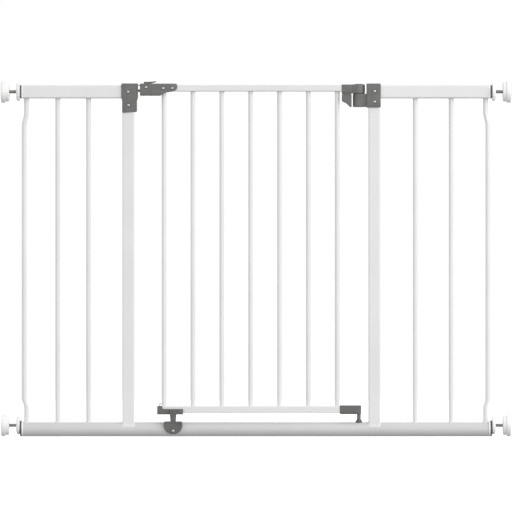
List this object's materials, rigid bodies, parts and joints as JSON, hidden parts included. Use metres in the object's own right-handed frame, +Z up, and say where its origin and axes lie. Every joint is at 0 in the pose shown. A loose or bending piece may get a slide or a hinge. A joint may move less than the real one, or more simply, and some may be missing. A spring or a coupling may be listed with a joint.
{
  "type": "safety gate",
  "caption": "White tube-frame pressure-fit child safety gate for a wide doorway, with a barred swing door, grey latch and hinge fittings and screw-out wall pads.",
  "frame": {"origin": "on the floor, at the middle of the doorway, under the bottom tube", "axes": "+X across the doorway from the latch side to the hinge side, +Y to the side the door does not open to, +Z up"},
  "size_m": [1.08, 0.0466, 0.7537],
  "materials": {
    "white_paint": "satin white powder coat over steel tube",
    "grey_plastic": "matte mid-grey moulded nylon",
    "dark_plastic": "matte dark grey moulded plastic",
    "white_plastic": "satin ivory-white moulded plastic",
    "steel": "zinc-plated steel",
    "rubber": "black rubber"
  },
  "bodies": {
    "frame": {"bottom_tube": "white_paint", "latch_post": "white_paint", "hinge_post": "white_paint", "left_top_rail": "white_paint", "right_top_rail": "white_paint", "left_side_bar": "white_paint", "right_side_bar": "white_paint", "left_bar_1": "white_paint", "left_bar_2": "white_paint", "right_bar_1": "white_paint", "right_bar_2": "white_paint", "strike_cover_front": "grey_plastic", "strike_cover_back": "grey_plastic", "strike_rivet_1": "steel", "strike_rivet_2": "steel", "hinge_bracket_front": "grey_plastic", "hinge_bracket_back": "grey_plastic", "hinge_rivet_1": "steel", "hinge_rivet_2": "steel", "upper_hinge_pin": "steel", "lower_pivot_bush": "grey_plastic", "upper_left_end_plug": "dark_plastic", "upper_right_end_plug": "dark_plastic", "lower_left_end_plug": "dark_plastic", "lower_right_end_plug": "dark_plastic"},
    "door": {"door_top_rail": "white_paint", "door_bottom_rail": "white_paint", "door_bar_1": "white_paint", "door_bar_2": "white_paint", "door_bar_3": "white_paint", "door_bar_4": "white_paint", "door_bar_5": "white_paint", "door_bar_6": "white_paint", "door_bar_7": "white_paint", "door_hinge_knuckle": "grey_plastic", "lower_pivot_block": "grey_plastic", "lower_pivot_pin": "grey_plastic", "latch_cover_front": "grey_plastic", "latch_cover_back": "grey_plastic", "lever_pivot_rivet": "steel", "latch_rivet_1": "steel", "latch_rivet_2": "steel", "latch_spring": "steel", "stop_bracket": "grey_plastic", "stop_rivet": "steel", "stop_bumper": "rubber"},
    "lever": {"thumb_lever": "grey_plastic"},
    "bolt": {"latch_bolt": "steel"},
    "upper_left_wheel": {"upper_left_adjuster_wheel": "white_plastic"},
    "upper_left_pad": {"upper_left_threaded_rod": "steel", "upper_left_wall_pad": "white_plastic"},
    "upper_right_wheel": {"upper_right_adjuster_wheel": "white_plastic"},
    "upper_right_pad": {"upper_right_threaded_rod": "steel", "upper_right_wall_pad": "white_plastic"},
    "lower_left_wheel": {"lower_left_adjuster_wheel": "white_plastic"},
    "lower_left_pad": {"lower_left_threaded_rod": "steel", "lower_left_wall_pad": "white_plastic"},
    "lower_right_wheel": {"lower_right_adjuster_wheel": "white_plastic"},
    "lower_right_pad": {"lower_right_threaded_rod": "steel", "lower_right_wall_pad": "white_plastic"}
  },
  "joints": [
    {"name": "door_swing", "type": "hinge", "parent": "frame", "child": "door", "pos_m": [0.218, 0, 0], "axis": [0, 0, 1], "range_deg": [0, 100]},
    {"name": "lever_tilt", "type": "hinge", "parent": "door", "child": "lever", "pos_m": [-0.2331, 0, 0.7395], "axis": [0, -1, 0], "range_deg": [0, 28]},
    {"name": "bolt_slide", "type": "slide", "parent": "door", "child": "bolt", "axis": [1, 0, 0], "range_m": [0, 0.0065], "stiffness_N_per_m": 300, "springref_m": -0.008, "deforming": ["latch_spring"]},
    {"name": "upper_left_wheel_turn", "type": "hinge", "parent": "frame", "child": "upper_left_wheel", "pos_m": [-0.504, 0, 0.7304], "axis": [1, 0, 0], "range_deg": [-3240, 5040]},
    {"name": "upper_left_pad_slide", "type": "slide", "parent": "frame", "child": "upper_left_pad", "axis": [-1, 0, 0], "range_m": [-0.01125, 0.0175]},
    {"name": "upper_right_wheel_turn", "type": "hinge", "parent": "frame", "child": "upper_right_wheel", "pos_m": [0.504, 0, 0.7304], "axis": [-1, 0, 0], "range_deg": [-3240, 5040]},
    {"name": "upper_right_pad_slide", "type": "slide", "parent": "frame", "child": "upper_right_pad", "axis": [1, 0, 0], "range_m": [-0.01125, 0.0175]},
    {"name": "lower_left_wheel_turn", "type": "hinge", "parent": "frame", "child": "lower_left_wheel", "pos_m": [-0.504, 0, 0.0235], "axis": [1, 0, 0], "range_deg": [-3240, 5040]},
    {"name": "lower_left_pad_slide", "type": "slide", "parent": "frame", "child": "lower_left_pad", "axis": [-1, 0, 0], "range_m": [-0.01125, 0.0175]},
    {"name": "lower_right_wheel_turn", "type": "hinge", "parent": "frame", "child": "lower_right_wheel", "pos_m": [0.504, 0, 0.0235], "axis": [-1, 0, 0], "range_deg": [-3240, 5040]},
    {"name": "lower_right_pad_slide", "type": "slide", "parent": "frame", "child": "lower_right_pad", "axis": [1, 0, 0], "range_m": [-0.01125, 0.0175]}
  ],
  "couplings": [
    {"joint": "lever_tilt", "follows": "bolt_slide", "rad_per_m": 75.1},
    {"joint": "upper_left_wheel_turn", "follows": "upper_left_pad_slide", "rad_per_m": 5026.5},
    {"joint": "upper_right_wheel_turn", "follows": "upper_right_pad_slide", "rad_per_m": 5026.5},
    {"joint": "lower_left_wheel_turn", "follows": "lower_left_pad_slide", "rad_per_m": 5026.5},
    {"joint": "lower_right_wheel_turn", "follows": "lower_right_pad_slide", "rad_per_m": 5026.5}
  ]
}
